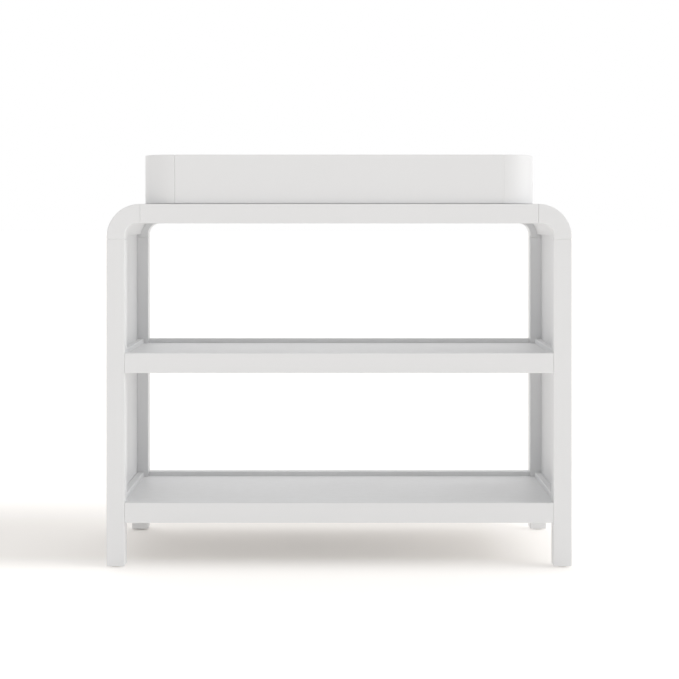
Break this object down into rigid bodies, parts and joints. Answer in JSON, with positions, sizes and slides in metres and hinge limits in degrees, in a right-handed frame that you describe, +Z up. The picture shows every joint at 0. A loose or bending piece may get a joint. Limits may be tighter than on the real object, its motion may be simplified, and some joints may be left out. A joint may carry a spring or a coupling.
{
  "type": "changing table",
  "caption": "Free-standing changing table with square legs, rounded top corners, recessed open shelves and a lift-off changing tray with rounded corners.",
  "frame": {"origin": "centre of the footprint at floor level", "axes": "+X to the right seen from the front, +Y to the back, +Z up"},
  "size_m": [1.016, 0.483, 0.902],
  "materials": {
    "painted_wood": "satin white paint on solid wood",
    "painted_board": "satin white paint on board",
    "beech": "raw fluted beech",
    "zinc": "die-cast zinc, plain",
    "steel": "zinc-plated steel",
    "nylon": "moulded white-grey nylon",
    "felt": "pressed felt"
  },
  "bodies": {
    "table_frame": {"front_left_leg": "painted_wood", "front_right_leg": "painted_wood", "back_left_leg": "painted_wood", "back_right_leg": "painted_wood", "front_left_corner": "painted_wood", "front_right_corner": "painted_wood", "back_left_corner": "painted_wood", "back_right_corner": "painted_wood", "front_top_rail": "painted_wood", "back_top_rail": "painted_wood", "left_curved_panel": "painted_board", "right_curved_panel": "painted_board", "table_top_panel": "painted_board", "left_side_panel": "painted_board", "right_side_panel": "painted_board", "left_top_batten": "painted_board", "right_top_batten": "painted_board", "middle_shelf_front_rail": "painted_wood", "middle_shelf_back_rail": "painted_wood", "middle_shelf_left_rail": "painted_wood", "middle_shelf_right_rail": "painted_wood", "middle_shelf_board": "painted_board", "middle_shelf_batten": "painted_board", "bottom_shelf_front_rail": "painted_wood", "bottom_shelf_back_rail": "painted_wood", "bottom_shelf_left_rail": "painted_wood", "bottom_shelf_right_rail": "painted_wood", "bottom_shelf_board": "painted_board", "bottom_shelf_batten": "painted_board", "leg_glides": "nylon", "leg_dowels": "beech", "top_rail_dowels": "beech", "curved_panel_dowels": "beech", "shelf_rail_dowels": "beech", "side_rail_dowels": "beech", "batten_dowels": "beech", "batten_screws": "steel", "top_rail_cams": "zinc", "top_rail_cam_pins": "steel", "shelf_cams": "zinc", "shelf_cam_pins": "steel"},
    "changing_tray": {"tray_front_board": "painted_wood", "tray_back_board": "painted_wood", "tray_left_board": "painted_wood", "tray_right_board": "painted_wood", "tray_front_left_corner": "painted_wood", "tray_front_right_corner": "painted_wood", "tray_back_left_corner": "painted_wood", "tray_back_right_corner": "painted_wood", "tray_floor": "painted_board", "tray_dowels": "beech", "tray_pins": "steel", "tray_bumpers": "felt"}
  },
  "joints": [
    {"name": "tray_lift", "type": "slide", "parent": "table_frame", "child": "changing_tray", "axis": [0, 0, 1], "range_m": [0, 0.15]}
  ]
}
